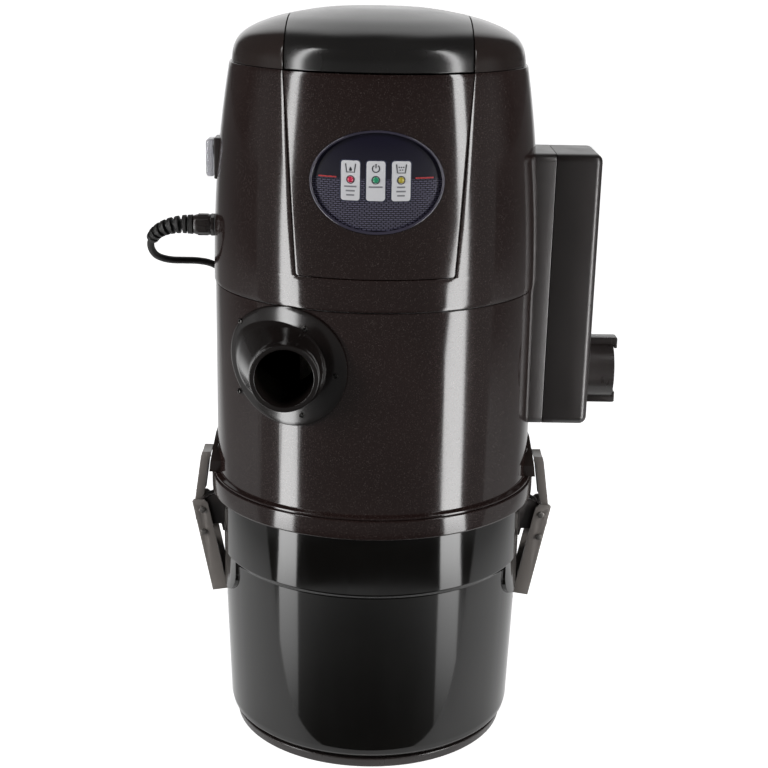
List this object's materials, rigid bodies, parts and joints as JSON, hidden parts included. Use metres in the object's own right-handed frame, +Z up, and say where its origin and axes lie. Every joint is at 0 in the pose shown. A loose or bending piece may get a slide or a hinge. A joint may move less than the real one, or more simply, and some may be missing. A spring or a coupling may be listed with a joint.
{
  "type": "wall-mounted wet and dry vacuum",
  "caption": "Upright cylindrical garage vacuum: motor head with a front panel, hose inlet, side blower port, rocker switch, latched drop-off collection bucket and power cord.",
  "frame": {"origin": "centre of the flat underside of the base cup, on the cylinder's axis", "axes": "+Z up along the cylinder's axis, -Y towards the front panel and hose inlet, +X towards the blower port"},
  "size_m": [0.46, 0.4515, 0.7005],
  "materials": {
    "speckled_black": "glossy warm black with fine metallic speckle",
    "satin_black": "satin moulded black",
    "gloss_brown_black": "high gloss brown-black",
    "bucket_black": "glossy black",
    "textured_black": "fine spark-eroded texture",
    "latch_grey": "satin warm dark grey",
    "bright_steel": "bright turned steel",
    "dull_steel": "pressed plated sheet",
    "cast_aluminium": "as cast",
    "copper_wire": "varnished winding wire and laminations",
    "black_rubber": "matt rubber",
    "grey_foam": "open-cell foam",
    "filter_paper": "pleated filter paper",
    "board_green": "varnished circuit board",
    "bezel_grey": "smooth purple-grey",
    "display_navy": "gloss navy print with a woven pattern",
    "clear_silicone": "clear flexible silicone",
    "clear_plastic": "clear moulded shell",
    "lens_red": "translucent red lens",
    "lens_green": "translucent green lens",
    "lens_amber": "translucent amber lens"
  },
  "bodies": {
    "head": {"bearing_lower": "bright_steel", "bearing_upper": "bright_steel", "blower_port": "satin_black", "collar": "gloss_brown_black", "cord": "black_rubber", "cord_coil": "black_rubber", "cord_gland": "satin_black", "display_bezel": "bezel_grey", "display_plate": "display_navy", "end_bracket_lower": "cast_aluminium", "end_bracket_upper": "cast_aluminium", "exhaust_box_base": "textured_black", "exhaust_box_cover": "textured_black", "exhaust_foam": "grey_foam", "fan_housing": "dull_steel", "filter_cage": "satin_black", "filter_cartridge": "filter_paper", "filter_nut": "satin_black", "front_panel": "speckled_black", "indicator_board": "board_green", "indicator_lens_left": "lens_red", "indicator_lens_middle": "lens_green", "indicator_lens_right": "lens_amber", "inlet_port": "satin_black", "latch_catch_left": "gloss_brown_black", "latch_catch_right": "gloss_brown_black", "lower_housing": "speckled_black", "motor_cover": "satin_black", "motor_deck": "satin_black", "motor_seal": "black_rubber", "plug": "black_rubber", "shoulder_cap_left": "gloss_brown_black", "shoulder_cap_right": "gloss_brown_black", "stator": "copper_wire", "strain_relief": "black_rubber", "switch_bezel": "satin_black", "switch_boot": "clear_silicone", "tank_gasket": "black_rubber", "top_cover": "satin_black", "upper_housing": "speckled_black", "wall_bracket": "satin_black"},
    "bucket": {"bucket": "bucket_black", "base_cup": "satin_black", "latch_bracket_left": "satin_black", "latch_bracket_right": "satin_black", "latch_pivot_pin_left": "bright_steel", "latch_pivot_pin_right": "bright_steel"},
    "latch_lever_left": {"latch_lever_left": "latch_grey", "latch_link_pin_left": "bright_steel"},
    "latch_link_left": {"latch_link_left": "latch_grey"},
    "latch_lever_right": {"latch_lever_right": "latch_grey", "latch_link_pin_right": "bright_steel"},
    "latch_link_right": {"latch_link_right": "latch_grey"},
    "rocker": {"rocker": "satin_black"},
    "rotor": {"impeller": "cast_aluminium", "motor_shaft": "bright_steel", "armature": "copper_wire", "cooling_fan": "satin_black"},
    "float": {"float_ball": "clear_plastic"}
  },
  "joints": [
    {"name": "bucket_drop", "type": "slide", "parent": "head", "child": "bucket", "axis": [0, 0, -1], "range_m": [0, 0.28]},
    {"name": "latch_left_open", "type": "hinge", "parent": "bucket", "child": "latch_lever_left", "pos_m": [-0.167, 0, 0.2153], "axis": [0, 1, 0], "range_deg": [0, 95]},
    {"name": "latch_left_link_swing", "type": "hinge", "parent": "latch_lever_left", "child": "latch_link_left", "pos_m": [-0.1657, 0, 0.192], "axis": [0, 1, 0], "range_deg": [-105, 0]},
    {"name": "latch_right_open", "type": "hinge", "parent": "bucket", "child": "latch_lever_right", "pos_m": [0.167, 0, 0.2153], "axis": [0, -1, 0], "range_deg": [0, 95]},
    {"name": "latch_right_link_swing", "type": "hinge", "parent": "latch_lever_right", "child": "latch_link_right", "pos_m": [0.1657, 0, 0.192], "axis": [0, -1, 0], "range_deg": [-105, 0]},
    {"name": "switch_rock", "type": "hinge", "parent": "head", "child": "rocker", "pos_m": [-0.1478, 0, 0.5605], "axis": [0, 1, 0], "range_deg": [0, 20]},
    {"name": "motor_spin", "type": "hinge", "parent": "head", "child": "rotor", "pos_m": [0, 0, 0.5], "axis": [0, 0, 1], "continuous": true},
    {"name": "float_rise", "type": "slide", "parent": "head", "child": "float", "axis": [0, 0, 1], "range_m": [0, 0.08]}
  ],
  "couplings": [
    {"joint": "latch_left_link_swing", "follows": "latch_left_open", "ratio": -1.1},
    {"joint": "latch_right_link_swing", "follows": "latch_right_open", "ratio": -1.1}
  ]
}
